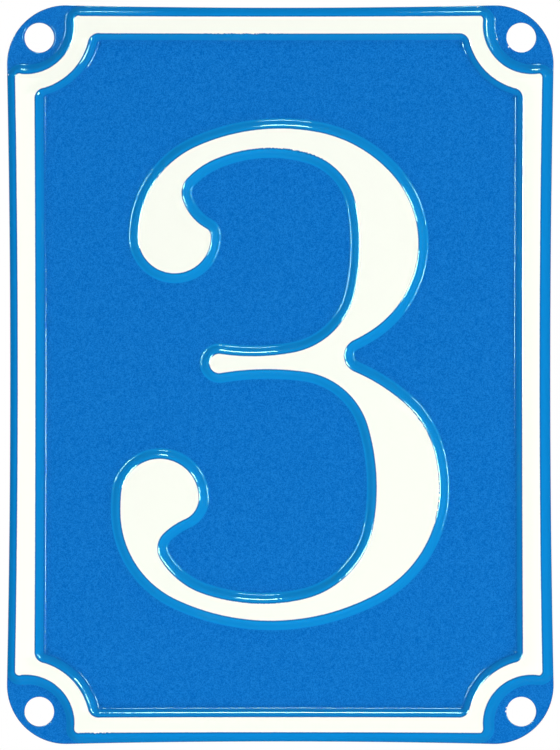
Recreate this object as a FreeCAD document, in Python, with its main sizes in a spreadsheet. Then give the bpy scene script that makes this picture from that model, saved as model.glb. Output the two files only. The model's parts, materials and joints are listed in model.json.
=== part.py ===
import FreeCAD, Part

import math
import os

import Sketcher

# House number plaque: one sheet of metal, pressed from behind and trimmed.
# A band runs round the border and a figure 3 stands in the middle, both raised.
# Four flat ears at the corners take the wall screws.
# Frame: millimetres, X to the right, Z up, the front faces -Y.
# The origin is the middle of the four screw holes, on the back of the ears.

SIZES = [
    ("plaque_width", 148.0, "across the ears"),
    ("plaque_height", 200.0, "from the top ears to the bottom ears"),
    ("ear_corner_radius", 16.0, "rounding of the outer corners"),
    ("side_draw", 0.9, "how far the long edges are drawn in at their middle"),
    ("end_draw", 0.7, "how far the short edges are drawn in at their middle"),
    ("sheet_thickness", 1.0, "gauge of the sheet"),
    ("emboss_height", 1.6, "how far the raised faces stand off the field"),
    ("wall_angle", 52.0, "slope of the pressed walls, in degrees"),
    ("crest_radius", 2.2, "front rounding at the top of the walls"),
    ("foot_radius", 0.7, "front rounding at the foot of the walls"),
    ("band_margin", 2.25, "from the trimmed edge to the crest of the band"),
    ("band_side_width", 4.9, "flat top of the band on the long sides"),
    ("band_end_width", 4.5, "flat top of the band on the short sides"),
    ("band_ear_width", 4.3, "flat top of the band round the ears"),
    ("band_outer_bow_side", 0.8, "bow of the outer crest on the long sides"),
    ("band_outer_bow_end", 0.2, "bow of the outer crest on the short sides"),
    ("band_inner_bow_side", 0.3, "bow of the inner crest on the long sides"),
    ("band_inner_bow_end", 0.15, "bow of the inner crest on the short sides"),
    ("band_corner_radius", 1.4, "where a side of the band turns into an ear hollow"),
    ("field_corner_radius", 0.4, "the same turn at the edge of the field"),
    ("ear_hollow_radius", 12.9, "hollow corner of the band round each ear"),
    ("ear_hollow_inset", 5.6, "centre of the hollow from the plaque's edges"),
    ("hole_diameter", 8.0, "screw holes"),
    ("hole_inset", 8.75, "centre of a hole from the plaque's edges"),
    ("numeral_height", 132.6, "raised figure, over its crest"),
    ("blank_allowance", 6.0, "sheet round the plaque before it is trimmed"),
]

# The figure 3, drawn 132.6 mm tall about its own middle.
# Each row is a circle that the crest line follows: centre x, centre z, radius,
# and the radius of the arc that joins it to the next circle.
# The line runs anticlockwise, and a minus sign marks a hollow arc.
NUMERAL_DRAWN_HEIGHT = 132.6
NUMERAL_CIRCLES = [
    # upper stroke and its left shoulder
    (0.0, 11.5, 55.0, 26.5),
    # upper ball, with its lip and the neck above it
    (-28.5, 37.3, 9.7, 2.2),
    (-13.3, 51.6, -13.8, -6.0),
    # inside of the upper bowl
    (-9.0, 38.0, -22.2, -38.0),
    (2.9, 42.5, -18.2, -60.0),
    (-0.2, 26.6, -21.0, -60.0),
    # rounded end of the middle bar
    (-16.4, 3.1, 2.5, -75.0),
    # inside of the lower bowl
    (3.8, -19.8, -21.0, -60.0),
    (0.8, -36.4, -25.0, -50.0),
    (-13.6, -38.5, -22.0, -5.8),
    # neck below the lower ball, its lip and the ball
    (-17.7, -57.2, -20.0, 6.0),
    (-32.5, -33.2, 10.4, 60.0),
    # outside of the lower bowl
    (-16.9, -37.0, 26.1, 60.0),
    (11.2, -31.0, 31.8, 45.0),
    (16.5, -27.3, 26.0, 50.0),
    # waist on the right
    (22.0, 5.2, -4.8, 45.0),
    # outside of the upper bowl
    (9.3, 35.6, 28.0, 36.0),
]

ORIGIN = (-1, 1)
CENTRE_POINT = 3
# Where a wall's section stands on its crest line: the sketch axis, and the heading there
ON_THE_RIGHT = (-1, math.pi / 2)
AT_THE_TOP = (-2, math.pi)
DIRECTION_ROUNDING = 1e-9
# Short flats that turn the outer side of a bend; its inner side is a plain corner
CREST_FLATS = 2
FOOT_FLATS = 1
# Directions of a side and of the corner after it, anticlockwise from the right side
QUARTERS = [(1, 0, 1, 1), (0, 1, -1, 1), (-1, 0, -1, -1), (0, -1, 1, -1)]

document = FreeCAD.newDocument("house_number_plaque")
sheet = document.addObject("Spreadsheet::Sheet", "Sizes")
for row, (alias, value, meaning) in enumerate(SIZES, start=1):
    sheet.set("A%d" % row, meaning)
    sheet.set("B%d" % row, str(value))
    sheet.setAlias("B%d" % row, alias)
document.recompute()

body = document.addObject("PartDesign::Body", "plaque_sheet")
body.Label = "plaque_sheet"


def value_of(expression):
    """Number that an expression in the sheet's sizes gives."""
    result = sheet.evalExpression(expression)
    return float(getattr(result, "Value", result))


def plane(role):
    """Origin plane of the body that has this role."""
    return [f for f in body.Origin.OriginFeatures if f.Role == role][0]


def new_sketch(name, role, offset, rotation=FreeCAD.Rotation()):
    """Empty sketch on an origin plane, moved by expressions for x, y and z."""
    sketch = body.newObject("Sketcher::SketchObject", name)
    sketch.AttachmentSupport = [(plane(role), "")]
    sketch.MapMode = "FlatFace"
    place = FreeCAD.Vector(*[value_of(part) for part in offset])
    sketch.AttachmentOffset = FreeCAD.Placement(place, rotation)
    for axis, part in zip("xyz", offset):
        if part != "0":
            sketch.setExpression("AttachmentOffset.Base.%s" % axis, part)
    return sketch


def constrain(sketch, shape_rules, sizes):
    """Add the rules of shape, and the named sizes with their expressions.

    A size is its name, its expression and the constraint without its value.
    """
    constraints = list(shape_rules)
    for name, expression, parts in sizes:
        constraint = Sketcher.Constraint(*parts, value_of(expression))
        constraint.Name = name
        constraints.append(constraint)
    sketch.addConstraint(constraints)
    for name, expression, _ in sizes:
        sketch.setExpression("Constraints.%s" % name, expression)


# Contours: circles joined by tangent arcs

def normal_between(first, second):
    """Left-hand normal where two touching circles share their direction."""
    span = second[2] - first[2]
    return (second[0] - first[0]) / span, (second[1] - first[1]) / span


def heading(normal):
    """Direction of travel that has this left-hand normal."""
    return math.atan2(-normal[0], normal[1])


def turn(start, end, radius):
    """Angle turned from one heading to another, negative on a hollow arc."""
    left = (end - start) % (2 * math.pi)
    if left > 2 * math.pi - DIRECTION_ROUNDING:
        left = 0.0
    return left if radius > 0 else left - 2 * math.pi


def joining_arc(first, second, radius):
    """Circle of a given radius that touches both, by the shorter turn."""
    near = abs(radius - first[2])
    far = abs(radius - second[2])
    dx = second[0] - first[0]
    dz = second[1] - first[1]
    span = math.hypot(dx, dz)
    along = (near * near - far * far + span * span) / (2 * span)
    across = math.sqrt(near * near - along * along)
    choices = []
    for side in (-1, 1):
        centre_x = first[0] + (along * dx - side * across * dz) / span
        centre_z = first[1] + (along * dz + side * across * dx) / span
        circle = (centre_x, centre_z, radius)
        start = heading(normal_between(first, circle))
        end = heading(normal_between(circle, second))
        choices.append((abs(turn(start, end, radius)), circle, start, end))
    return min(choices)[1:]


def contour_arcs(circles, split=None):
    """Arcs (circle, start heading, end heading) of a closed tangent contour.

    A contour that is split starts part way along its first circle.
    """
    numbers = [tuple(value_of(part) for part in row) for row in circles]
    count = len(numbers)
    joins = []
    for index, row in enumerate(numbers):
        following = numbers[(index + 1) % count]
        joins.append(joining_arc(row[:3], following[:3], row[3]))
    arcs = []
    for index, row in enumerate(numbers):
        arcs.append((row[:3], joins[index - 1][2], joins[index][1]))
        arcs.append(joins[index])
    if split:
        circle, start, end = arcs[0]
        arcs[0] = (circle, split[1], end)
        arcs.append((circle, start, split[1]))
    return arcs


def add_contour(sketch, prefix, circles, split=None):
    """Draw a closed contour and tie its centres and radii to the sheet."""
    arcs = []
    ends = []
    for (centre_x, centre_z, radius), start, end in contour_arcs(circles, split):
        swept = turn(start, end, radius)
        centre = FreeCAD.Vector(centre_x, centre_z, 0)
        circle = Part.Circle(centre, FreeCAD.Vector(0, 0, 1), abs(radius))
        if radius > 0:
            angles = (start - math.pi / 2, start + swept - math.pi / 2)
            ends.append((1, 2))
        else:
            angles = (start + swept + math.pi / 2, start + math.pi / 2)
            ends.append((2, 1))
        arcs.append(Part.ArcOfCircle(circle, *angles))
    numbers = sketch.addGeometry(arcs, False)

    rules = []
    for index, number in enumerate(numbers):
        following = (index + 1) % len(numbers)
        joint = (number, ends[index][1], numbers[following], ends[following][0])
        if split and following == 0:
            centres = (number, CENTRE_POINT, numbers[0], CENTRE_POINT)
            start_on_axis = (numbers[0], ends[0][0], split[0])
            rules.append(Sketcher.Constraint("Coincident", *joint))
            rules.append(Sketcher.Constraint("Coincident", *centres))
            rules.append(Sketcher.Constraint("PointOnObject", *start_on_axis))
        else:
            rules.append(Sketcher.Constraint("Tangent", *joint))

    sizes = []
    for index, (x, z, radius, join) in enumerate(circles):
        number = numbers[2 * index]
        joining = numbers[2 * index + 1]
        centre = (*ORIGIN, number, CENTRE_POINT)
        name = "%s_%d" % (prefix, index + 1)
        sizes.append((name + "_x", x, ("DistanceX", *centre)))
        sizes.append((name + "_z", z, ("DistanceY", *centre)))
        sizes.append((name + "_radius", "abs(%s)" % radius, ("Radius", number)))
        sizes.append((name + "_join", "abs(%s)" % join, ("Radius", joining)))
    constrain(sketch, rules, sizes)


def bow_radius(half_length, bow):
    """Radius of a long edge that bows by a little between the ears."""
    run = "((%s) - Sizes.ear_corner_radius)" % half_length
    return "((%s^2 + (%s)^2) / (2 * (%s)))" % (run, bow, bow)


def four_sides(middle_x, middle_z, side_bow, end_bow, join, hollow=None):
    """Circles of a bowed rectangle, anticlockwise from the right side.

    hollow is the (x, z, radius) of a hollow corner at the upper right, and
    None where the sides meet in the joining arc alone.
    """
    side_radius = bow_radius(HALF_HEIGHT, side_bow)
    end_radius = bow_radius(HALF_WIDTH, end_bow)
    side_centre = "(%s + %s)" % (middle_x, side_radius)
    end_centre = "(%s + %s)" % (middle_z, end_radius)
    rows = []
    for x, z, corner_x, corner_z in QUARTERS:
        radius = side_radius if x else end_radius
        rows.append(("%d * %s" % (x, side_centre), "%d * %s" % (z, end_centre), "-" + radius, join))
        if hollow:
            hollow_x, hollow_z, hollow_radius = hollow
            place = ("%d * (%s)" % (corner_x, hollow_x), "%d * (%s)" % (corner_z, hollow_z))
            rows.append((*place, hollow_radius, join))
    return rows


def grown(circles, amount):
    """The same contour moved outwards by an amount."""
    return [
        (x, z, "%s + %s" % (radius, amount), "%s + %s" % (join, amount))
        for x, z, radius, join in circles
    ]


# Heights of the sheet, and the plan width of a pressed wall from its crest to its foot

GAUGE = "Sizes.sheet_thickness"
RAISED = "Sizes.emboss_height"
ROUNDINGS = "(Sizes.crest_radius + Sizes.foot_radius)"
RISE_LEFT = "(%s - %s * (1 - cos(Sizes.wall_angle)))" % (RAISED, ROUNDINGS)
WALL_WIDTH = "(%s * sin(Sizes.wall_angle) + %s / tan(Sizes.wall_angle))" % (ROUNDINGS, RISE_LEFT)

HALF_WIDTH = "Sizes.plaque_width / 2"
HALF_HEIGHT = "Sizes.plaque_height / 2"
BAND_X = "(%s - Sizes.side_draw - Sizes.band_margin)" % HALF_WIDTH
BAND_Z = "(%s - Sizes.end_draw - Sizes.band_margin)" % HALF_HEIGHT
HOLLOW_X = "%s - Sizes.ear_hollow_inset" % HALF_WIDTH
HOLLOW_Z = "%s - Sizes.ear_hollow_inset" % HALF_HEIGHT
FIELD_X = "(%s - Sizes.band_side_width)" % BAND_X
FIELD_Z = "(%s - Sizes.band_end_width)" % BAND_Z

outline = four_sides(
    "(%s - Sizes.side_draw)" % HALF_WIDTH,
    "(%s - Sizes.end_draw)" % HALF_HEIGHT,
    "Sizes.side_draw",
    "Sizes.end_draw",
    "Sizes.ear_corner_radius",
)
band_outer = four_sides(
    BAND_X,
    BAND_Z,
    "Sizes.band_outer_bow_side",
    "Sizes.band_outer_bow_end",
    "Sizes.band_corner_radius",
    (HOLLOW_X, HOLLOW_Z, "-Sizes.ear_hollow_radius"),
)
band_inner = four_sides(
    FIELD_X,
    FIELD_Z,
    "Sizes.band_inner_bow_side",
    "Sizes.band_inner_bow_end",
    "(Sizes.field_corner_radius + %s)" % WALL_WIDTH,
    (HOLLOW_X, HOLLOW_Z, "-(Sizes.ear_hollow_radius + Sizes.band_ear_width)"),
)
NUMERAL_SCALE = "Sizes.numeral_height / %s" % NUMERAL_DRAWN_HEIGHT
numeral = [
    tuple("%s * %s" % (number, NUMERAL_SCALE) for number in row) for row in NUMERAL_CIRCLES
]


# Features of the sheet

def contour_sketch(name, contours, height="0", split=None):
    """Sketch of closed contours, at a height off the back."""
    sketch = new_sketch(name, "XZ_Plane", ("0", "0", height))
    for prefix, circles in contours:
        add_contour(sketch, prefix, circles, split)
    return sketch


def add_polygon(sketch, corners):
    """Closed polygon whose corners are tied to the sheet."""
    places = [FreeCAD.Vector(value_of(x), value_of(y), 0) for x, y in corners]
    lines = [Part.LineSegment(a, b) for a, b in zip(places, places[1:] + places[:1])]
    numbers = sketch.addGeometry(lines, False)
    rules = []
    sizes = []
    for index, number in enumerate(numbers):
        following = numbers[(index + 1) % len(numbers)]
        rules.append(Sketcher.Constraint("Coincident", number, 2, following, 1))
        x, y = corners[index]
        corner = (*ORIGIN, number, 1)
        sizes.append(("corner_%d_x" % (index + 1), x, ("DistanceX", *corner)))
        sizes.append(("corner_%d_y" % (index + 1), y, ("DistanceY", *corner)))
    constrain(sketch, rules, sizes)


def add_rectangle(sketch, half_x, half_z):
    """Rectangle about the origin, tied to the sheet."""
    minus_x = "-1 * (%s)" % half_x
    minus_z = "-1 * (%s)" % half_z
    add_polygon(
        sketch,
        [(minus_x, minus_z), (half_x, minus_z), (half_x, half_z), (minus_x, half_z)],
    )


def bend_points(radius, centre_x, centre_y, side, flats):
    """Corners of a bend's outer side, drawn as short flats from level to slope."""
    points = []
    for step in range(flats + 1):
        angle = "(Sizes.wall_angle * %d / %d)" % (step, flats)
        x = "%s + %d * %s * sin%s" % (centre_x, side, radius, angle)
        y = "%s + %d * %s * cos%s" % (centre_y, side, radius, angle)
        points.append((x, y))
    return points


def wall_section(name, role, offset, rotation):
    """Closed section of a pressed wall: x away from the crest, y off the back."""
    crest_y = "(%s + %s - Sizes.crest_radius)" % (RAISED, GAUGE)
    outer_foot_radius = "(%s + Sizes.foot_radius)" % GAUGE
    front_crest = bend_points("Sizes.crest_radius", "0", crest_y, 1, CREST_FLATS)
    back_foot = bend_points(outer_foot_radius, WALL_WIDTH, outer_foot_radius, -1, FOOT_FLATS)
    half_turn = "tan(Sizes.wall_angle / 2)"
    front_foot = ("%s - Sizes.foot_radius * %s" % (WALL_WIDTH, half_turn), GAUGE)
    back_crest = ("(Sizes.crest_radius - %s) * %s" % (GAUGE, half_turn), RAISED)
    field_end = (WALL_WIDTH, GAUGE)
    crest_end = ("0", RAISED)
    sketch = new_sketch(name, role, offset, rotation)
    corners = front_crest + [front_foot, field_end] + back_foot + [back_crest, crest_end]
    add_polygon(sketch, corners)
    return sketch


def pad(name, sketch, length):
    """Thickness added on the front side of a sketch."""
    feature = body.newObject("PartDesign::Pad", name)
    feature.Profile = sketch
    feature.setExpression("Length", length)
    return feature


def wall(name, section, crest):
    """Wall section carried once round a crest line."""
    feature = body.newObject("PartDesign::AdditivePipe", name)
    feature.Profile = section
    feature.Spine = crest
    return feature


def pocket(name, sketch):
    """Opening cut right through the sheet."""
    feature = body.newObject("PartDesign::Pocket", name)
    feature.Profile = sketch
    feature.Type = "ThroughAll"
    feature.Midplane = True
    return feature


# Crest lines, drawn on the back of the raised faces

outer_crest = contour_sketch("band_outer_crest", [("outer", band_outer)], RAISED, ON_THE_RIGHT)
inner_crest = contour_sketch("band_inner_crest", [("inner", band_inner)], RAISED, ON_THE_RIGHT)
numeral_crest = contour_sketch("numeral_crest", [("figure", numeral)], RAISED, AT_THE_TOP)

# Sections of the three walls, each where its crest line runs square to a plane

NUMERAL_TOP = "(%s + %s) * %s" % (NUMERAL_CIRCLES[0][1], NUMERAL_CIRCLES[0][2], NUMERAL_SCALE)
outer_section = wall_section(
    "band_outer_section",
    "XY_Plane",
    (BAND_X, "0", "0"),
    FreeCAD.Rotation(FreeCAD.Vector(1, 0, 0), 180),
)
inner_section = wall_section(
    "band_inner_section",
    "XY_Plane",
    (FIELD_X, "0", "0"),
    FreeCAD.Rotation(FreeCAD.Vector(0, 0, 1), 180),
)
numeral_section = wall_section(
    "numeral_section",
    "YZ_Plane",
    ("0", NUMERAL_TOP, "0"),
    FreeCAD.Rotation(FreeCAD.Vector(0, 0, 1), 90),
)

# Raised blank: its flat top, the band's outer wall, and the sheet round it

pad("raised_blank", outer_crest, GAUGE)
wall("band_outer_wall", outer_section, outer_crest)
blank = contour_sketch("blank_outline", [("band_foot", grown(band_outer, WALL_WIDTH))])
add_rectangle(
    blank,
    "%s + Sizes.blank_allowance" % HALF_WIDTH,
    "%s + Sizes.blank_allowance" % HALF_HEIGHT,
)
pad("blank", blank, GAUGE)

# Trimmed edge: everything outside the outline goes, and flat ears are left at the corners

trim = contour_sketch("trim_line", [("edge", outline)])
add_rectangle(
    trim,
    "%s + 2 * Sizes.blank_allowance" % HALF_WIDTH,
    "%s + 2 * Sizes.blank_allowance" % HALF_HEIGHT,
)
pocket("trimmed_edge", trim)

# Screw holes, one in each ear

holes = new_sketch("screw_hole_circles", "XZ_Plane", ("0", "0", "0"))
HOLE_X = "(%s - Sizes.hole_inset)" % HALF_WIDTH
HOLE_Z = "(%s - Sizes.hole_inset)" % HALF_HEIGHT
HOLE_RADIUS = "Sizes.hole_diameter / 2"
hole_sizes = []
for number, (_, _, side, level) in enumerate(QUARTERS, start=1):
    place = ("%d * %s" % (side, HOLE_X), "%d * %s" % (level, HOLE_Z))
    centre = FreeCAD.Vector(value_of(place[0]), value_of(place[1]), 0)
    circle = Part.Circle(centre, FreeCAD.Vector(0, 0, 1), value_of(HOLE_RADIUS))
    geometry = holes.addGeometry(circle, False)
    name = "hole_%d" % number
    hole_sizes.append((name + "_x", place[0], ("DistanceX", *ORIGIN, geometry, CENTRE_POINT)))
    hole_sizes.append((name + "_z", place[1], ("DistanceY", *ORIGIN, geometry, CENTRE_POINT)))
    hole_sizes.append((name + "_radius", HOLE_RADIUS, ("Radius", geometry)))
constrain(holes, [], hole_sizes)
pocket("screw_holes", holes)

# Field, sunk inside the band

pocket("band_opening", inner_crest)
wall("band_inner_wall", inner_section, inner_crest)
field_edge = grown(band_inner, "-1 * " + WALL_WIDTH)
pad("field", contour_sketch("field_outline", [("field_edge", field_edge)]), GAUGE)

# Raised figure: the field is open inside its foot, then come its wall and its flat top

figure_foot = contour_sketch("numeral_foot", [("figure_foot", grown(numeral, WALL_WIDTH))])
pocket("numeral_opening", figure_foot)
wall("numeral_wall", numeral_section, numeral_crest)
pad("numeral_top", numeral_crest, GAUGE)

document.recompute()

# Checks, then the sheet's file

for item in document.Objects:
    for fault in ("Invalid", "Error"):
        if fault in item.State:
            raise RuntimeError("%s is in state %s" % (item.Name, item.State))
shape = body.Shape
if shape.isNull() or not shape.isValid() or len(shape.Solids) != 1:
    raise RuntimeError("the sheet isn't one valid solid")
if shape.BoundBox.XLength > value_of("Sizes.plaque_width + Sizes.blank_allowance"):
    raise RuntimeError("the sheet wasn't trimmed to its outline")

os.makedirs("parts", exist_ok=True)
shape.exportStep("parts/%s.step" % body.Label)
print("%s: volume %.1f mm3, box %s" % (body.Label, shape.Volume, shape.BoundBox))
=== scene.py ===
import json
import math

import bpy
import numpy as np
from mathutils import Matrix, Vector
from mathutils.geometry import tessellate_polygon


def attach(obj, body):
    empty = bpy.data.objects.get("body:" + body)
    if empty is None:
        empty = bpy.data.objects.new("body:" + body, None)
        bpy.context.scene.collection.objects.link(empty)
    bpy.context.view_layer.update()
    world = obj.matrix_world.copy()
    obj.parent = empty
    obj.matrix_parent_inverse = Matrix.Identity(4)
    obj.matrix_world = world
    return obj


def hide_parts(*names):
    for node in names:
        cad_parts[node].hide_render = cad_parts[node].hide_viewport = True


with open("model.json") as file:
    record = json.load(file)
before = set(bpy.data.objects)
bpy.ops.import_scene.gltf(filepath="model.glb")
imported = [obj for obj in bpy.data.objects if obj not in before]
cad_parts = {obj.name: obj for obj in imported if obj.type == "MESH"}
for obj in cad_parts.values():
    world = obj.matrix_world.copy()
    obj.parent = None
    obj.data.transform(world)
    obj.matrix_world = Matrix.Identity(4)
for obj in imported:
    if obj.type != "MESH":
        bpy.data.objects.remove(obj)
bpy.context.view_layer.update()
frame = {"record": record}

# House number plaque: one pressed sheet with a raised band and a raised figure 3.
# The whole sheet is one mesh, lacquered blue, with a white coat on its raised faces.
# Plan sizes are in millimetres: x to the right, z up, heights off the back of the sheet.
# The front faces -Y, and the mesh is turned into metres as it is built.

MM = 0.001

# Sheet and its outline
HALF_WIDTH = 74.0
HALF_HEIGHT = 100.0
EAR_CORNER_RADIUS = 16.0
SIDE_DRAW = 0.9
END_DRAW = 0.7
GAUGE = 1.0

# Pressed walls
EMBOSS = 1.6
WALL_ANGLE = math.radians(52.0)
CREST_RADIUS = 2.2
FOOT_RADIUS = 0.7
CREST_CENTRE = EMBOSS + GAUGE - CREST_RADIUS
FOOT_CENTRE = GAUGE + FOOT_RADIUS
ROUNDINGS = CREST_RADIUS + FOOT_RADIUS
RISE_LEFT = EMBOSS - ROUNDINGS * (1.0 - math.cos(WALL_ANGLE))
WALL_WIDTH = ROUNDINGS * math.sin(WALL_ANGLE) + RISE_LEFT / math.tan(WALL_ANGLE)

# Band round the border: its margin, the widths of its flat top on the sides, the ends
# and round the ears, its bows on the sides and the ends, and its corners
BAND_MARGIN = 2.25
BAND_SIDE_WIDTH = 4.9
BAND_END_WIDTH = 4.5
BAND_EAR_WIDTH = 4.3
OUTER_BOWS = (0.8, 0.2)
INNER_BOWS = (0.3, 0.15)
BAND_CORNER_RADIUS = 1.4
FIELD_CORNER_RADIUS = 0.4
HOLLOW_RADIUS = 12.9
HOLLOW_INSET = 5.6
BAND_X = HALF_WIDTH - SIDE_DRAW - BAND_MARGIN
BAND_Z = HALF_HEIGHT - END_DRAW - BAND_MARGIN
FIELD_X = BAND_X - BAND_SIDE_WIDTH
FIELD_Z = BAND_Z - BAND_END_WIDTH
HOLLOW_X = HALF_WIDTH - HOLLOW_INSET
HOLLOW_Z = HALF_HEIGHT - HOLLOW_INSET

# Screw holes: places and size come from the mount in the record, and the punch
# rolled the rim of the upper left one more than the others
SCREW_MOUNT = [m for m in frame["record"]["mounts"] if m["name"] == "wall_screws"][0]["dims"]
HOLE_RADIUS = SCREW_MOUNT["hole_r_mm"]
HOLE_X = SCREW_MOUNT["spacing_x_mm"] / 2.0
HOLE_Z = SCREW_MOUNT["spacing_y_mm"] / 2.0
RIM_ROLL = 0.2
RIM_ROLL_UPPER_LEFT = 0.6
RIM_ROLL_BACK = 0.15

# The figure's crest line, anticlockwise: circles (centre x, centre z, radius, and the
# radius of the arc that joins it to the next). A minus sign marks a hollow arc.
NUMERAL_CIRCLES = [
    # upper stroke and its left shoulder
    (0.0, 11.5, 55.0, 26.5),
    # upper ball, with its lip and the neck above it
    (-28.5, 37.3, 9.7, 2.2),
    (-13.3, 51.6, -13.8, -6.0),
    # inside of the upper bowl
    (-9.0, 38.0, -22.2, -38.0),
    (2.9, 42.5, -18.2, -60.0),
    (-0.2, 26.6, -21.0, -60.0),
    # rounded end of the middle bar
    (-16.4, 3.1, 2.5, -75.0),
    # inside of the lower bowl
    (3.8, -19.8, -21.0, -60.0),
    (0.8, -36.4, -25.0, -50.0),
    (-13.6, -38.5, -22.0, -5.8),
    # neck below the lower ball, its lip and the ball
    (-17.7, -57.2, -20.0, 6.0),
    (-32.5, -33.2, 10.4, 60.0),
    # outside of the lower bowl
    (-16.9, -37.0, 26.1, 60.0),
    (11.2, -31.0, 31.8, 45.0),
    (16.5, -27.3, 26.0, 50.0),
    # waist on the right
    (22.0, 5.2, -4.8, 45.0),
    # outside of the upper bowl
    (9.3, 35.6, 28.0, 36.0),
]

# Where the white coat ends on each wall, measured down from the crest line: a middle
# value, and what is added where the wall faces right and where it faces up. The coat
# was rolled on a little to the left of the pressed relief.
COAT_ENDS = {
    "outer": (-0.32, -0.44, 0.05),
    "inner": (0.12, -0.42, -0.21),
    "figure": (0.1, -0.1, -0.1),
}

# Where the lighter blue of the walls ends, measured from the crest line: thinner lacquer on the
# stretched walls, with painted light on the slopes
STRETCH_AND_LIGHT_ENDS = {"outer": 2.6, "inner": 2.2, "figure": 3.1}

# Places where the coat's edge is worn: middle x, middle z, half length and half height.
# The wear reaches its full depth this many times faster than the place ends.
WORN_PLACES = [
    (-10.0, 90.5, 16.0, 4.0),
    (-49.0, -96.8, 5.0, 3.0),
    (2.0, 59.0, 14.0, 4.0),
    (-5.0, -58.0, 16.0, 5.0),
    (42.0, -34.0, 4.0, 9.0),
    (37.0, -12.0, 6.0, 7.0),
]
WORN_STEEPNESS = 1.5

# Small chips in the lacquer by the right-hand screw holes, then painted highlights on the kinks
# where the trimmed edge meets the ears: middle x, middle z and size
CHIPS_AND_GLINTS = [
    (61.1, -91.2, 0.6),
    (61.2, -90.2, 0.4),
    (61.9, 88.8, 0.5),
    (58.6, 90.8, 0.4),
    # Painted highlights where the trimmed edge meets the ears
    (-73.5, 81.1, 0.6),
    (53.4, 99.3, 0.5),
    (73.2, 81.0, 0.7),
    (73.2, -80.4, 0.7),
]

# Where the lacquer is dull: on walls that the trimmed edge cuts short, growing with the
# share cut off, and on the crest of inner walls that face right by these shares, down
# to this distance from the crest line
TRIM_DULLING = 6.0
DULL_CREST_FACING = (0.9, 0.98)
DULL_CREST_END = 1.3

# How finely the mesh follows its lines. Rows a little way onto the flat tops and onto
# the field keep the marks from spreading over them.
STATION_STEP = 1.2
STATION_TURN = math.radians(4.0)
FRONT_CREST_TILTS = [0, 4, 8, 12, 18, 26, 34, 43, 52]
FRONT_FOOT_TILTS = [52, 40, 28, 18, 10, 4, 0]
BACK_CREST_TILTS = [0, 13, 26, 39, 52]
BACK_FOOT_TILTS = [52, 39, 26, 13, 0]
TOP_GUARDS = [-1.2, -0.8, -0.4]
FIELD_GUARD = 0.6
EDGE_ROUNDING = 0.15
EDGE_TILTS = [30, 60, 90]
HOLE_STATIONS = 64
BISECTIONS = 45

# Directions of a side and of the corner after it, anticlockwise from the right side
QUARTERS = [(1, 0, 1, 1), (0, 1, -1, 1), (-1, 0, -1, -1), (0, -1, 1, -1)]


# Contours: circles joined by tangent arcs

def normal_between(first, second):
    """Left-hand normal where two touching circles share their direction."""
    span = second[2] - first[2]
    return (second[0] - first[0]) / span, (second[1] - first[1]) / span


def heading(normal):
    """Direction of travel that has this left-hand normal."""
    return math.atan2(-normal[0], normal[1])


def turn(start, end, radius):
    """Angle turned from one heading to another, negative on a hollow arc."""
    left = (end - start) % (2 * math.pi)
    if left > 2 * math.pi - 1e-9:
        left = 0.0
    return left if radius > 0 else left - 2 * math.pi


def joining_arc(first, second, radius):
    """Circle of a given radius that touches both, by the shorter turn."""
    near = abs(radius - first[2])
    far = abs(radius - second[2])
    dx = second[0] - first[0]
    dz = second[1] - first[1]
    span = math.hypot(dx, dz)
    along = (near * near - far * far + span * span) / (2 * span)
    across = math.sqrt(near * near - along * along)
    choices = []
    for side in (-1, 1):
        centre_x = first[0] + (along * dx - side * across * dz) / span
        centre_z = first[1] + (along * dz + side * across * dx) / span
        circle = (centre_x, centre_z, radius)
        start = heading(normal_between(first, circle))
        end = heading(normal_between(circle, second))
        choices.append((abs(turn(start, end, radius)), circle, start, end))
    return min(choices)[1:]


def contour_arcs(rows):
    """Arcs (circle, start heading, end heading) of a closed tangent contour."""
    count = len(rows)
    joins = []
    for index, row in enumerate(rows):
        joins.append(joining_arc(row[:3], rows[(index + 1) % count][:3], row[3]))
    arcs = []
    for index, row in enumerate(rows):
        arcs.append((row[:3], joins[index - 1][2], joins[index][1]))
        arcs.append(joins[index])
    return arcs


def bow_radius(half_length, bow):
    """Radius of a long edge that bows by a little between the ears."""
    run = half_length - EAR_CORNER_RADIUS
    return (run * run + bow * bow) / (2.0 * bow)


def four_sides(middle_x, middle_z, side_bow, end_bow, join, hollow_radius=None):
    """Circles of a bowed rectangle, anticlockwise, with hollow corners where asked."""
    side_radius = bow_radius(HALF_HEIGHT, side_bow)
    end_radius = bow_radius(HALF_WIDTH, end_bow)
    rows = []
    for x, z, corner_x, corner_z in QUARTERS:
        radius = side_radius if x else end_radius
        rows.append((x * (middle_x + side_radius), z * (middle_z + end_radius), -radius, join))
        if hollow_radius:
            rows.append((corner_x * HOLLOW_X, corner_z * HOLLOW_Z, -hollow_radius, join))
    return rows


def stations(rows):
    """Points along a contour: centre x, centre z, radius, heading and next heading."""
    points = []
    for (centre_x, centre_z, radius), start, end in contour_arcs(rows):
        swept = turn(start, end, radius)
        steps = max(abs(swept * radius) / STATION_STEP, abs(swept) / STATION_TURN)
        count = max(1, math.ceil(steps))
        for step in range(count):
            here = start + swept * step / count
            following = start + swept * (step + 1) / count
            points.append((centre_x, centre_z, radius, here, following))
    return np.array(points)


def place(points, distance):
    """Plan position at a distance outwards from the contour's stations."""
    reach = points[:, 2] + distance
    x = points[:, 0] + reach * np.sin(points[:, 3])
    z = points[:, 1] - reach * np.cos(points[:, 3])
    return x, z


def outwards(points):
    """Outward direction in plan at the contour's stations."""
    return np.sin(points[:, 3]), -np.cos(points[:, 3])


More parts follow.
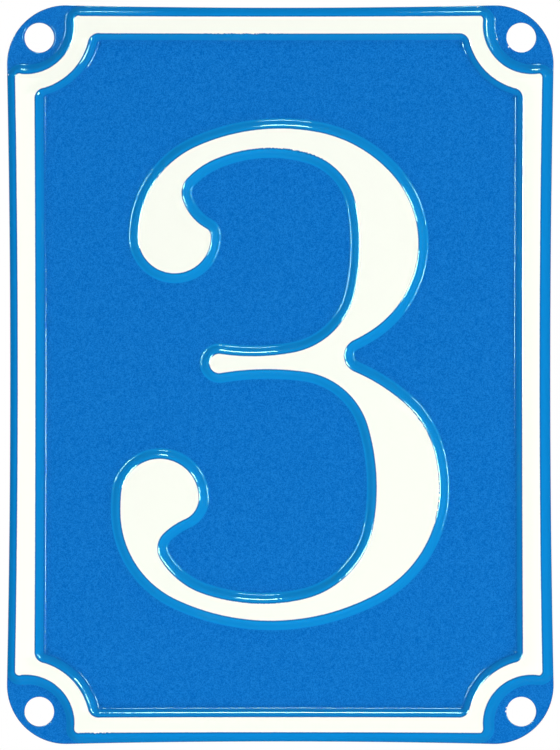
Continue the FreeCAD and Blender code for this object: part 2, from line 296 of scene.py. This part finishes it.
outline_rows = four_sides(
    HALF_WIDTH - SIDE_DRAW, HALF_HEIGHT - END_DRAW, SIDE_DRAW, END_DRAW, EAR_CORNER_RADIUS
)
outer_rows = four_sides(BAND_X, BAND_Z, *OUTER_BOWS, BAND_CORNER_RADIUS, HOLLOW_RADIUS)
inner_rows = four_sides(
    FIELD_X, FIELD_Z, *INNER_BOWS, FIELD_CORNER_RADIUS + WALL_WIDTH, HOLLOW_RADIUS + BAND_EAR_WIDTH
)


# The sheet's outline as a depth: how far a point lies inside the trimmed edge

SIDE_CIRCLE = outline_rows[0][:3]
END_CIRCLE = outline_rows[1][:3]
EAR_CIRCLE = contour_arcs(outline_rows)[1][0]


def beyond(centre, x, z):
    """Positive where a point lies past the line from a centre through the ear's centre."""
    along_x = EAR_CIRCLE[0] - centre[0]
    along_z = EAR_CIRCLE[1] - centre[1]
    return along_x * (z - centre[1]) - along_z * (x - centre[0])


def edge_depth(x, z):
    """Depth inside the outline, and the outline's outward direction there."""
    right = np.abs(x)
    up = np.abs(z)
    options = []
    for centre_x, centre_z, radius in (SIDE_CIRCLE, END_CIRCLE):
        dx = centre_x - right
        dz = centre_z - up
        reach = np.hypot(dx, dz)
        options.append((reach + radius, dx / reach, dz / reach))
    side, end = options
    nearer = side[0] < end[0]
    depth, nx, nz = (np.where(nearer, a, b) for a, b in zip(side, end))
    dx = right - EAR_CIRCLE[0]
    dz = up - EAR_CIRCLE[1]
    reach = np.maximum(np.hypot(dx, dz), 1e-9)
    corner = (beyond(SIDE_CIRCLE, right, up) < 0) & (beyond(END_CIRCLE, right, up) > 0)
    depth = np.where(corner, EAR_CIRCLE[2] - reach, depth)
    nx = np.where(corner, dx / reach, nx)
    nz = np.where(corner, dz / reach, nz)
    return depth, nx * np.sign(x), nz * np.sign(z)


def foot_is_whole(points):
    """Whether the wall's foot stays inside the rounding of the cut edge."""
    return edge_depth(*place(points, WALL_WIDTH))[0] >= EDGE_ROUNDING


def outer_stations():
    """Stations of the outer crest, with one more wherever its foot meets the cut edge.

    They start at a crossing that leaves an ear. Also gives the crossings' numbers.
    """
    points = stations(outer_rows)
    whole = foot_is_whole(points)
    rows = []
    crossings = []
    for index, row in enumerate(points):
        rows.append(row)
        if whole[index] == whole[(index + 1) % len(points)]:
            continue
        low, high = row[3], row[4]
        for _ in range(BISECTIONS):
            middle = (low + high) / 2.0
            probe = np.array([[*row[:3], middle, row[4]]])
            if foot_is_whole(probe)[0] == whole[index]:
                low = middle
            else:
                high = middle
        crossings.append((len(rows), whole[index]))
        rows.append([*row[:3], (low + high) / 2.0, row[4]])
    first = min(number for number, leaves_ear in crossings if leaves_ear)
    numbers = sorted((number - first) % len(rows) for number, _ in crossings)
    return np.roll(np.array(rows), -first, axis=0), numbers


def outer_reach(points, crossings):
    """Distance from the outer crest to the foot, or to the rounding of the cut edge."""
    near = np.zeros(len(points))
    far = np.full(len(points), WALL_WIDTH)
    for _ in range(BISECTIONS):
        middle = (near + far) / 2.0
        inside = edge_depth(*place(points, middle))[0] >= EDGE_ROUNDING
        near = np.where(inside, middle, near)
        far = np.where(inside, far, middle)
    reach = np.where(foot_is_whole(points), WALL_WIDTH, near)
    reach[crossings] = WALL_WIDTH
    return reach


# Section of a pressed wall

def wall_surface(distance, crest_radius, foot_radius):
    """Height and tilt of one face of a wall, at a distance from its crest line."""
    crest_end = crest_radius * math.sin(WALL_ANGLE)
    foot_start = WALL_WIDTH - foot_radius * math.sin(WALL_ANGLE)
    within = np.clip(distance, 0.0, WALL_WIDTH)
    on_crest = within < crest_end
    on_foot = within > foot_start
    tilt = np.full(within.shape, WALL_ANGLE)
    tilt = np.where(on_crest, np.arcsin(np.minimum(within / crest_radius, 1.0)), tilt)
    from_foot = (WALL_WIDTH - within) / foot_radius
    tilt = np.where(on_foot, np.arcsin(np.minimum(from_foot, 1.0)), tilt)
    slope_top = CREST_CENTRE + crest_radius * math.cos(WALL_ANGLE)
    height = slope_top - (within - crest_end) * math.tan(WALL_ANGLE)
    height = np.where(on_crest, CREST_CENTRE + crest_radius * np.cos(tilt), height)
    height = np.where(on_foot, FOOT_CENTRE - foot_radius * np.cos(tilt), height)
    return height, tilt


# Marks that every vertex carries for the material: the share of the wall that is passed, which
# sets where the walls' lighter blue with its painted light lies, the distance past the coat's end,
# and whether it is on the figure, dull or on the cut edge with its painted shade
MARKS = ("wall_share", "coat_distance", "figure", "dull", "cut")
FIELD_SHARE = 2.0
FAR_FROM_CREST = 2.0 * WALL_WIDTH
OFF_THE_WALLS = (FIELD_SHARE, FAR_FROM_CREST, 0.0)

# The sheet's two faces: which way each looks, the radii at the crest and the foot of its
# walls, and the tilts at which its roundings have a row of vertices
FACES = {
    "front": (1, CREST_RADIUS, FOOT_RADIUS, FRONT_CREST_TILTS, FRONT_FOOT_TILTS),
    "back": (-1, CREST_RADIUS - GAUGE, FOOT_RADIUS + GAUGE, BACK_CREST_TILTS, BACK_FOOT_TILTS),
}


def ring_distances(face):
    """Distances from the crest line at which a wall has a ring of vertices."""
    _, crest_radius, foot_radius, crest_tilts, foot_tilts = FACES[face]
    crest = [crest_radius * math.sin(math.radians(tilt)) for tilt in crest_tilts]
    foot = [WALL_WIDTH - foot_radius * math.sin(math.radians(tilt)) for tilt in foot_tilts]
    return crest + foot


class SheetMesh:
    """Vertices with their normals and marks, and the faces between them."""

    def __init__(self):
        self.rows = []
        self.faces = {3: [], 4: []}
        self.count = 0

    def add(self, x, z, height, normal, wall_share, coat_distance, figure, dull=0.0, cut=0.0):
        """Add a row of vertices with their marks, and return their numbers."""
        marks = (wall_share, coat_distance, figure, dull, cut)
        columns = (x, -np.asarray(height), z, *normal, *marks)
        row = np.stack([np.broadcast_to(column, len(x)) for column in columns], axis=1)
        self.rows.append(row.astype(float))
        numbers = np.arange(self.count, self.count + len(x))
        self.count += len(x)
        return numbers

    def table(self):
        """All vertices: place, normal and marks."""
        return np.concatenate(self.rows)

    def strip(self, first, second):
        """Faces between two closed rows of vertices."""
        corners = [first, np.roll(first, -1), np.roll(second, -1), second]
        self.faces[4].append(np.stack(corners, axis=1))

    def strips(self, rings):
        """Faces between each closed row and the next."""
        for first, second in zip(rings, rings[1:]):
            self.strip(first, second)

    def fill(self, *loops):
        """Faces of a flat patch, from its outer row and the rows of its openings."""
        table = self.table()
        numbers = np.concatenate(loops)
        outlines = [[Vector((table[n][0], table[n][2], 0.0)) for n in loop] for loop in loops]
        self.faces[3].append(numbers[np.array(tessellate_polygon(outlines))])

    def turned(self, corners, table):
        """The same faces, each with its corners in the order that agrees with its normals."""
        places = table[corners, :3]
        normals = table[corners, 3:6].sum(axis=1)
        across = np.cross(places[:, 2] - places[:, 0], places[:, -1] - places[:, 1])
        if corners.shape[1] == 3:
            across = np.cross(places[:, 1] - places[:, 0], places[:, 2] - places[:, 0])
        agrees = (across * normals).sum(axis=1) > 0.0
        return np.where(agrees[:, None], corners, corners[:, ::-1])

    def to_object(self, name):
        """Blender object of the sheet, in metres."""
        table = self.table()
        faces = []
        for patches in self.faces.values():
            faces += self.turned(np.concatenate(patches), table).tolist()
        mesh = bpy.data.meshes.new(name)
        mesh.from_pydata((table[:, :3] * MM).tolist(), [], faces)
        mesh.shade_smooth()
        mesh.normals_split_custom_set_from_vertices(table[:, 3:6].tolist())
        values = dict(zip(MARKS, table[:, 6:].T))
        values["wear"] = worn_share(table[:, 0], table[:, 2])
        for name_of_mark, column in values.items():
            layer = mesh.attributes.new(name_of_mark, "FLOAT", "POINT")
            layer.data.foreach_set("value", column.astype(np.float32))
        piece = bpy.data.objects.new(name, mesh)
        bpy.context.scene.collection.objects.link(piece)
        return piece


def leaning_normal(sign, tilt, nx, nz):
    """Unit normal of a face that leans towards a plan direction; sign is -1 at the back."""
    lean = sign * np.sin(tilt)
    return lean * nx, -sign * np.cos(tilt), lean * nz


def worn_share(x, z):
    """How worn the coat's edge is at a place, from 0 to 1."""
    share = np.zeros(len(x))
    for middle_x, middle_z, half_length, half_height in WORN_PLACES:
        off = np.hypot((x - middle_x) / half_length, (z - middle_z) / half_height)
        share = np.maximum(share, np.clip(WORN_STEEPNESS * (1.0 - off), 0.0, 1.0))
    return share


def coat_end(face, contour, facing_x, facing_z):
    """Distance down a wall at which its white coat ends; the back has none."""
    if face == "back":
        return -FAR_FROM_CREST
    middle, to_right, upwards = COAT_ENDS[contour]
    return middle + to_right * facing_x + upwards * facing_z


def crest_dulling(contour, facing_x):
    """How dull the lacquer is on a crest: only the band's left inner wall, from 0 to 1."""
    if contour != "inner":
        return np.zeros(len(facing_x))
    start, end = DULL_CREST_FACING
    return np.clip((facing_x - start) / (end - start), 0.0, 1.0)


def wall_rings(sheet, face, contour, points, reach=WALL_WIDTH, field_guards=()):
    """Rows from a flat top down one wall of the relief to its foot."""
    sign, crest_radius, foot_radius, _, _ = FACES[face]
    side = -1 if contour == "inner" else 1
    nx, nz = outwards(points)
    end = coat_end(face, contour, side * nx, side * nz)
    dull_all = np.clip(TRIM_DULLING * (1.0 - reach / WALL_WIDTH), 0.0, 1.0)
    dull_crest = np.maximum(dull_all, crest_dulling(contour, side * nx))
    rings = []
    distances = TOP_GUARDS + ring_distances(face) + [WALL_WIDTH + g for g in field_guards]
    for distance in distances:
        share = reach / WALL_WIDTH if distance <= WALL_WIDTH else 1.0
        away = np.broadcast_to(distance * share, len(points))
        x, z = place(points, side * away)
        height, tilt = wall_surface(away, crest_radius, foot_radius)
        normal = leaning_normal(sign, tilt, side * nx, side * nz)
        # The walls' lighter blue, thinner lacquer with painted light, fades in with this share;
        # the back keeps the field's blue
        light = away / STRETCH_AND_LIGHT_ENDS[contour] if face == "front" else FIELD_SHARE
        dull = dull_crest if distance < DULL_CREST_END else dull_all
        marks = (light, away - end, float(contour == "figure"), dull)
        rings.append(sheet.add(x, z, height, normal, *marks))
    sheet.strips(rings)
    return rings


def ear_outline(points, side, level, start, end):
    """Places along the outline round one ear, between two bearings from its middle."""
    x, z = place(points, -EDGE_ROUNDING)
    bearing = ear_bearing(x, z, side, level)
    near = np.hypot(x - side * HOLLOW_X, z - level * HOLLOW_Z) < 2 * HOLLOW_RADIUS
    chosen = np.nonzero(near & (bearing > start) & (bearing < end))[0]
    chosen = chosen[np.argsort(bearing[chosen])]
    return x[chosen], z[chosen]


def ear_bearing(x, z, side, level):
    """Angle round the middle of an ear, from the direction of its outer corner."""
    bearing = np.arctan2(z - level * HOLLOW_Z, x - side * HOLLOW_X) - math.atan2(level, side)
    return (bearing + math.pi) % (2 * math.pi) - math.pi


def screw_hole(sheet, face, side, level, roll):
    """Rows at one end of a screw hole, from its rim on the ear down its rolled edge."""
    sign = FACES[face][0]
    flat = flat_height(face)
    angle = np.arange(HOLE_STATIONS) * 2 * math.pi / HOLE_STATIONS
    inward_x, inward_z = -np.cos(angle), -np.sin(angle)
    rings = []
    for tilt in [0] + EDGE_TILTS:
        lean = math.radians(tilt)
        radius = HOLE_RADIUS + roll * (1.0 - math.sin(lean))
        height = flat - sign * roll * (1.0 - math.cos(lean))
        normal = leaning_normal(sign, lean, inward_x, inward_z)
        x = side * HOLE_X - radius * inward_x
        z = level * HOLE_Z - radius * inward_z
        rings.append(sheet.add(x, z, np.full(len(x), height), normal, *OFF_THE_WALLS))
    sheet.strips(rings)
    return rings[0], rings[-1]


def flat_height(face):
    """Height of the field and the ears on one face."""
    return GAUGE if face == "front" else 0.0


def hole_roll(face, side, level):
    """Width of the rolled edge at one end of a screw hole."""
    if face == "back":
        return RIM_ROLL_BACK
    return RIM_ROLL_UPPER_LEFT if (side, level) == (-1, 1) else RIM_ROLL


def ear(sheet, face, foot, outline_points):
    """Flat ear outside the band's foot. Returns its row on the outline and its hole's row."""
    table = sheet.table()
    x, z = table[foot, 0], table[foot, 2]
    side, level = int(np.sign(x[0])), int(np.sign(z[0]))
    bearing = ear_bearing(x, z, side, level)
    x, z = ear_outline(outline_points, side, level, bearing[0], bearing[-1])
    normal = (0.0, -FACES[face][0], 0.0)
    rim = sheet.add(x, z, np.full(len(x), flat_height(face)), normal, *OFF_THE_WALLS)
    hole_rim, hole_edge = screw_hole(sheet, face, side, level, hole_roll(face, side, level))
    sheet.fill(np.concatenate([foot, rim[::-1]]), hole_rim)
    return rim, hole_edge


def cut_edge(sheet, face, boundary):
    """Rows that round one face over into the cut edge of the sheet."""
    sign = FACES[face][0]
    table = sheet.table()[boundary]
    x, height, z = table[:, 0], -table[:, 1], table[:, 2]
    normal = table[:, 3:6]
    _, nx, nz = edge_depth(x, z)
    slope = np.sqrt(1.0 - normal[:, 1] ** 2) / np.abs(normal[:, 1])
    rings = [boundary]
    for tilt in EDGE_TILTS:
        lean = math.radians(tilt)
        away = EDGE_ROUNDING * math.sin(lean)
        drop = EDGE_ROUNDING * (1.0 - math.cos(lean))
        rounded = math.cos(lean) * normal
        rounded = rounded + math.sin(lean) * np.stack([nx, np.zeros(len(x)), nz], axis=1)
        rounded /= np.linalg.norm(rounded, axis=1)[:, None]
        lowered = height - slope * away - sign * drop
        places = (x + away * nx, z + away * nz, lowered)
        # The cut edge's rows carry the mark for its painted shade
        marks = (table[:, 6], table[:, 7], 0.0, table[:, 9], 1.0)
        rings.append(sheet.add(*places, tuple(rounded.T), *marks))
    sheet.strips(rings)
    return rings[-1]


def build_face(sheet, face):
    """One face of the sheet. Returns its rows along the cut edge and in the screw holes."""
    outer, crossings = outer_stations()
    reach = outer_reach(outer, crossings)
    inner = stations(inner_rows)
    figure = stations(NUMERAL_CIRCLES)
    outer_rings = wall_rings(sheet, face, "outer", outer, reach)
    inner_rings = wall_rings(sheet, face, "inner", inner, field_guards=[FIELD_GUARD])
    figure_rings = wall_rings(sheet, face, "figure", figure, field_guards=[FIELD_GUARD])
    sheet.fill(outer_rings[0], inner_rings[0])
    sheet.fill(inner_rings[-1], figure_rings[-1])
    sheet.fill(figure_rings[0])

    outline_points = stations(outline_rows)
    foot = np.append(outer_rings[-1], outer_rings[-1][0])
    ends = crossings + [len(outer)]
    boundary = []
    holes = []
    for number in range(0, len(crossings), 2):
        leaves, enters, next_leaves = ends[number:number + 3]
        rim, hole = ear(sheet, face, foot[enters:next_leaves + 1], outline_points)
        boundary += [foot[leaves:enters + 1], rim]
        holes.append(hole)
    return cut_edge(sheet, face, np.concatenate(boundary)), holes


def build_plaque():
    """The whole sheet: its two faces, the cut edge and the walls of the screw holes."""
    sheet = SheetMesh()
    front_edge, front_holes = build_face(sheet, "front")
    back_edge, back_holes = build_face(sheet, "back")
    sheet.strip(front_edge, back_edge)
    for front_hole, back_hole in zip(front_holes, back_holes):
        sheet.strip(front_hole, back_hole)
    return sheet.to_object("pressed_plaque")


# Nodes

def connect(tree, made, inputs):
    """Set a node's inputs, each to a number or a link."""
    for key, value in inputs.items():
        if isinstance(value, bpy.types.NodeSocket):
            tree.links.new(value, made.inputs[key])
        else:
            made.inputs[key].default_value = value


def node(tree, kind, inputs=None, **properties):
    """New node with its properties, and its inputs as numbers or links."""
    made = tree.nodes.new(kind)
    for name, value in properties.items():
        setattr(made, name, value)
    connect(tree, made, inputs or {})
    return made


def calculate(tree, operation, first, second):
    """Result of a math node."""
    made = node(tree, "ShaderNodeMath", {0: first, 1: second}, operation=operation)
    return made.outputs[0]


def ramp(tree, value, start, end, low=0.0, high=1.0):
    """Smooth step from one number to another while a value goes from start to end."""
    inputs = {"Value": value, "From Min": start, "From Max": end, "To Min": low, "To Max": high}
    made = node(tree, "ShaderNodeMapRange", inputs, interpolation_type="SMOOTHSTEP")
    return made.outputs[0]


def mixed(tree, share, first, second):
    """Colour between two colours."""
    made = node(tree, "ShaderNodeMix", data_type="RGBA")
    connect(tree, made, {0: share, 6: first, 7: second})
    return made.outputs[2]


def mark(tree, name):
    """Value of one of the mesh's marks."""
    return node(tree, "ShaderNodeAttribute", attribute_name=name).outputs["Fac"]


def noise(tree, coordinates, size_mm, detail=2.0):
    """Noise whose features are about this many millimetres across."""
    inputs = {"Vector": coordinates, "Scale": 1.0 / (size_mm * MM), "Detail": detail}
    return node(tree, "ShaderNodeTexNoise", inputs).outputs[0]


# Colours and finish

def colour(red, green, blue):
    """Linear colour with alpha, from sRGB numbers of 0 to 255."""
    def linear(channel):
        share = channel / 255.0
        return share / 12.92 if share <= 0.04045 else ((share + 0.055) / 1.055) ** 2.4
    return (linear(red), linear(green), linear(blue), 1.0)


FIELD_BLUE_DARK = colour(0, 97, 182)
FIELD_BLUE_LIGHT = colour(26, 124, 206)
# Walls: thinner lacquer where the sheet is stretched, with painted light that is stronger on the
# figure's walls than on the band's
BAND_WALL_STRETCH_AND_LIGHT_BLUE = colour(12, 131, 204)
FIGURE_WALL_STRETCH_AND_LIGHT_BLUE = colour(14, 142, 214)
# Painted shade: a darker blue on the cut edge and its rounding, which darkens the sheet's rim seen
# from the front
CUT_EDGE_SHADE_BLUE = colour(8, 70, 130)
SHADE_BLUE = colour(6, 84, 150)
WHITE_COAT = colour(246, 249, 239)
CHIP_AND_GLINT_GREY = colour(240, 243, 243)

# Fine grain of the field, and how far down a wall its lighter blue, partly painted light, starts
# to fade
GRAIN_SIZE = 0.28
GRAIN_RANGE = (0.3, 0.7)
STRETCH_AND_LIGHT_FADE = 0.85

# Edge of the white coat: how ragged it is where it is whole and where it is worn, how
# softly it ends, and the thin darker line beside it
RAGGED_SIZE = 0.6
RAGGED_DETAIL = 4.0
RAGGED_DEPTH = 0.1
WORN_DEPTH = 0.9
COAT_FADE = 0.06
EDGE_SHADE = 0.6
EDGE_SHADE_WIDTH = 0.5
SPOT_JITTER_SIZE = 0.4
SPOT_EDGE = (1.1, 0.9)

# Gloss of the lacquer, with a faint orange peel
PEEL_SIZE = 2.5
PEEL_STRENGTH = 0.05
GLOSS_ROUGHNESS = 0.06
SPECULAR_LEVEL = 0.5
LACQUER_IOR = 1.6


def chip_and_glint_spot(tree, coordinates, middle_x, middle_z, size):
    """Share of one spot in the front of the sheet, with an uneven outline: chips in the lacquer
    and painted highlights alike.
    """
    middle = Vector((middle_x, -GAUGE, middle_z)) * MM
    jitter = noise(tree, coordinates, SPOT_JITTER_SIZE)
    off = node(tree, "ShaderNodeVectorMath", {0: coordinates, 1: middle}, operation="DISTANCE")
    spread = calculate(tree, "DIVIDE", off.outputs["Value"], size * MM)
    uneven = calculate(tree, "ADD", spread, jitter)
    return ramp(tree, uneven, *SPOT_EDGE)


def enamelled_sheet():
    """Blue lacquer over the sheet and a white coat on its raised faces."""
    material = bpy.data.materials.new("blue_lacquer")
    material.use_nodes = True
    tree = material.node_tree
    tree.nodes.clear()
    coordinates = node(tree, "ShaderNodeTexCoord").outputs["Object"]
    grain = ramp(tree, noise(tree, coordinates, GRAIN_SIZE), *GRAIN_RANGE)
    field = mixed(tree, grain, FIELD_BLUE_DARK, FIELD_BLUE_LIGHT)
    # Lighter blue on the walls: thinner lacquer on the stretched walls, and painted light that is
    # stronger on the figure's walls than on the band's
    on_wall = ramp(tree, mark(tree, "wall_share"), 1.0, STRETCH_AND_LIGHT_FADE)
    wall = mixed(tree, mark(tree, "figure"), BAND_WALL_STRETCH_AND_LIGHT_BLUE, FIGURE_WALL_STRETCH_AND_LIGHT_BLUE)
    blue = mixed(tree, on_wall, field, wall)
    # Painted shade on the cut edge and its rounding
    blue = mixed(tree, mark(tree, "cut"), blue, CUT_EDGE_SHADE_BLUE)

    uneven = noise(tree, coordinates, RAGGED_SIZE, RAGGED_DETAIL)
    uneven = calculate(tree, "SUBTRACT", uneven, 0.5)
    depth = ramp(tree, mark(tree, "wear"), 0.0, 1.0, RAGGED_DEPTH, WORN_DEPTH)
    ragged = calculate(tree, "MULTIPLY", uneven, depth)
    coat_distance = calculate(tree, "ADD", mark(tree, "coat_distance"), ragged)
    coated = ramp(tree, coat_distance, -COAT_FADE, COAT_FADE, 1.0, 0.0)
    shaded = ramp(tree, coat_distance, EDGE_SHADE_WIDTH, 0.5 * EDGE_SHADE_WIDTH, 0.0, EDGE_SHADE)
    blue = mixed(tree, shaded, blue, SHADE_BLUE)
    base = mixed(tree, coated, blue, WHITE_COAT)
    # White spots: chips in the lacquer, and painted highlights at the kinks of the trimmed edge
    for middle_x, middle_z, size in CHIPS_AND_GLINTS:
        base = mixed(tree, chip_and_glint_spot(tree, coordinates, middle_x, middle_z, size), base, CHIP_AND_GLINT_GREY)

    peel = noise(tree, coordinates, PEEL_SIZE)
    bump_inputs = {"Strength": PEEL_STRENGTH, "Distance": MM, "Height": peel}
    bump = node(tree, "ShaderNodeBump", bump_inputs)
    gloss = ramp(tree, mark(tree, "dull"), 0.0, 1.0, SPECULAR_LEVEL, 0.0)
    shader = node(
        tree,
        "ShaderNodeBsdfPrincipled",
        {
            "Base Color": base,
            "Roughness": GLOSS_ROUGHNESS,
            "Specular IOR Level": gloss,
            "IOR": LACQUER_IOR,
            "Normal": bump.outputs[0],
        },
    )
    output = node(tree, "ShaderNodeOutputMaterial")
    tree.links.new(shader.outputs[0], output.inputs["Surface"])
    return material


plaque = build_plaque()
plaque.data.materials.append(enamelled_sheet())
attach(plaque, "root")
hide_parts("plaque_sheet")


# Studio, in metres: a pale floor below, lamps in front and behind, white past the floor

FLOOR_LEVEL = -0.15
FLOOR_RADIUS = 0.55
FLOOR_CORNERS = 96
FLOOR_FADE = (0.55, 0.98)
FLOOR_GREY_DARK = colour(236, 237, 238)
FLOOR_GREY_LIGHT = colour(242, 243, 244)
FLOOR_GRAIN_SIZE = 3.0
FLOOR_GRAIN_DETAIL = 3.0

# What the lacquer mirrors of the world in front of the plaque and behind it
WORLD_GLOW = (0.01, 0.1)

# The camera is shifted as in the photo, and the frame's height is in the plaque's plane
CAMERA_DISTANCE = 1.5
CAMERA_SHIFT = (-0.00008, -0.00011)
CAMERA_CLIP = 0.01
FRAME_HEIGHT = 0.203145
SENSOR = 36.0

# Lamps: bearing round the plaque's face, angle off the camera's line, distance,
# width and height in metres, watts, and whether the lacquer mirrors it and whether it
# lights colours. The strips that only make the highlights have a tint of their own.
LAMPS = [
    ("soft_left", 180.0, 56.0, 1.2, 0.8, 0.8, 6.0, False, True),
    ("soft_right", 0.0, 56.0, 1.2, 0.8, 0.8, 9.5, False, True),
    ("soft_top", 90.0, 56.0, 1.2, 0.8, 0.8, 6.4, False, True),
    ("soft_bottom", 270.0, 56.0, 1.2, 0.8, 0.8, 9.9, False, True),
    ("soft_behind", 90.0, 135.0, 1.2, 1.0, 1.0, 13.0, True, True),
    ("strip_left", 157.1, 18.5, 1.0, 0.1, 0.25, 5.6, True, False),
    ("strip_right", -7.5, 17.1, 1.0, 0.1, 0.14, 3.3, True, False),
    ("strip_upper_right", 30.2, 19.8, 1.0, 0.1, 0.1, 2.2, True, False),
    ("strip_top", 89.0, 58.0, 1.0, 0.2, 0.16, 4.2, True, False),
]
STRIP_TINT = (0.5, 1.0, 0.8)


def add_lamp(name, bearing, off_axis, distance, width, height, watts, mirrored, lights):
    """Rectangular lamp that faces the plaque's middle."""
    around = math.radians(bearing)
    off = math.radians(off_axis)
    sideways = math.sin(off)
    direction = (sideways * math.cos(around), -math.cos(off), sideways * math.sin(around))
    place_of_lamp = distance * Vector(direction)
    light = bpy.data.lights.new(name, "AREA")
    light.shape = "RECTANGLE"
    light.size = width
    light.size_y = height
    light.energy = watts
    if not lights:
        light.color = STRIP_TINT
    lamp = bpy.data.objects.new(name, light)
    lamp.location = place_of_lamp
    lamp.rotation_euler = (-place_of_lamp).to_track_quat("-Z", "Y").to_euler()
    lamp.visible_camera = False
    lamp.visible_glossy = mirrored
    lamp.visible_diffuse = lights
    bpy.context.scene.collection.objects.link(lamp)


def add_floor():
    """Round pale floor that fades out towards its rim."""
    angles = [2 * math.pi * n / FLOOR_CORNERS for n in range(FLOOR_CORNERS)]
    rim = [(FLOOR_RADIUS * math.cos(a), FLOOR_RADIUS * math.sin(a), FLOOR_LEVEL) for a in angles]
    mesh = bpy.data.meshes.new("floor")
    mesh.from_pydata(rim, [], [list(range(FLOOR_CORNERS))])
    material = bpy.data.materials.new("pale_floor")
    material.use_nodes = True
    tree = material.node_tree
    tree.nodes.clear()
    coordinates = node(tree, "ShaderNodeTexCoord").outputs["Object"]
    plan_inputs = {0: coordinates, 1: (1.0, 1.0, 0.0)}
    plan = node(tree, "ShaderNodeVectorMath", plan_inputs, operation="MULTIPLY")
    length = node(tree, "ShaderNodeVectorMath", {0: plan.outputs[0]}, operation="LENGTH")
    grain = noise(tree, coordinates, FLOOR_GRAIN_SIZE, FLOOR_GRAIN_DETAIL)
    shade = mixed(tree, grain, FLOOR_GREY_DARK, FLOOR_GREY_LIGHT)
    matte = node(tree, "ShaderNodeBsdfDiffuse", {"Color": shade})
    clear = node(tree, "ShaderNodeBsdfTransparent")
    start, end = (share * FLOOR_RADIUS for share in FLOOR_FADE)
    fade = ramp(tree, length.outputs["Value"], start, end)
    surface_inputs = {0: fade, 1: matte.outputs[0], 2: clear.outputs[0]}
    surface = node(tree, "ShaderNodeMixShader", surface_inputs)
    output = node(tree, "ShaderNodeOutputMaterial")
    tree.links.new(surface.outputs[0], output.inputs["Surface"])
    mesh.materials.append(material)
    floor = bpy.data.objects.new("floor", mesh)
    # The lower lamps shine through the floor, and it lights and tints nothing
    floor.visible_shadow = False
    floor.visible_glossy = False
    floor.visible_diffuse = False
    bpy.context.scene.collection.objects.link(floor)


def set_world():
    """White where the camera looks past the plaque, and dim in what the lacquer mirrors."""
    world = bpy.data.worlds.new("studio")
    bpy.context.scene.world = world
    world.use_nodes = True
    tree = world.node_tree
    tree.nodes.clear()
    direction = node(tree, "ShaderNodeTexCoord").outputs["Generated"]
    across = node(tree, "ShaderNodeSeparateXYZ", {0: direction})
    glow = ramp(tree, across.outputs["Y"], -1.0, 1.0, *WORLD_GLOW)
    seen = node(tree, "ShaderNodeLightPath").outputs["Is Camera Ray"]
    strength = node(tree, "ShaderNodeMix", {0: seen, 2: glow, 3: 1.0}, data_type="FLOAT")
    white = {"Color": (1.0, 1.0, 1.0, 1.0), "Strength": strength.outputs[0]}
    background = node(tree, "ShaderNodeBackground", white)
    output = node(tree, "ShaderNodeOutputWorld")
    tree.links.new(background.outputs[0], output.inputs["Surface"])


def add_camera():
    """Camera square to the plaque's face, as far off as fills the frame."""
    data = bpy.data.cameras.new("camera")
    data.sensor_width = SENSOR
    data.lens = SENSOR * CAMERA_DISTANCE / FRAME_HEIGHT
    data.clip_start = CAMERA_CLIP
    camera = bpy.data.objects.new("camera", data)
    camera.location = (CAMERA_SHIFT[0], -CAMERA_DISTANCE, CAMERA_SHIFT[1])
    camera.rotation_euler = (math.pi / 2, 0.0, 0.0)
    bpy.context.scene.collection.objects.link(camera)
    bpy.context.scene.camera = camera


add_floor()
for lamp_settings in LAMPS:
    add_lamp(*lamp_settings)
set_world()
add_camera()
bpy.context.scene.view_settings.view_transform = "Standard"
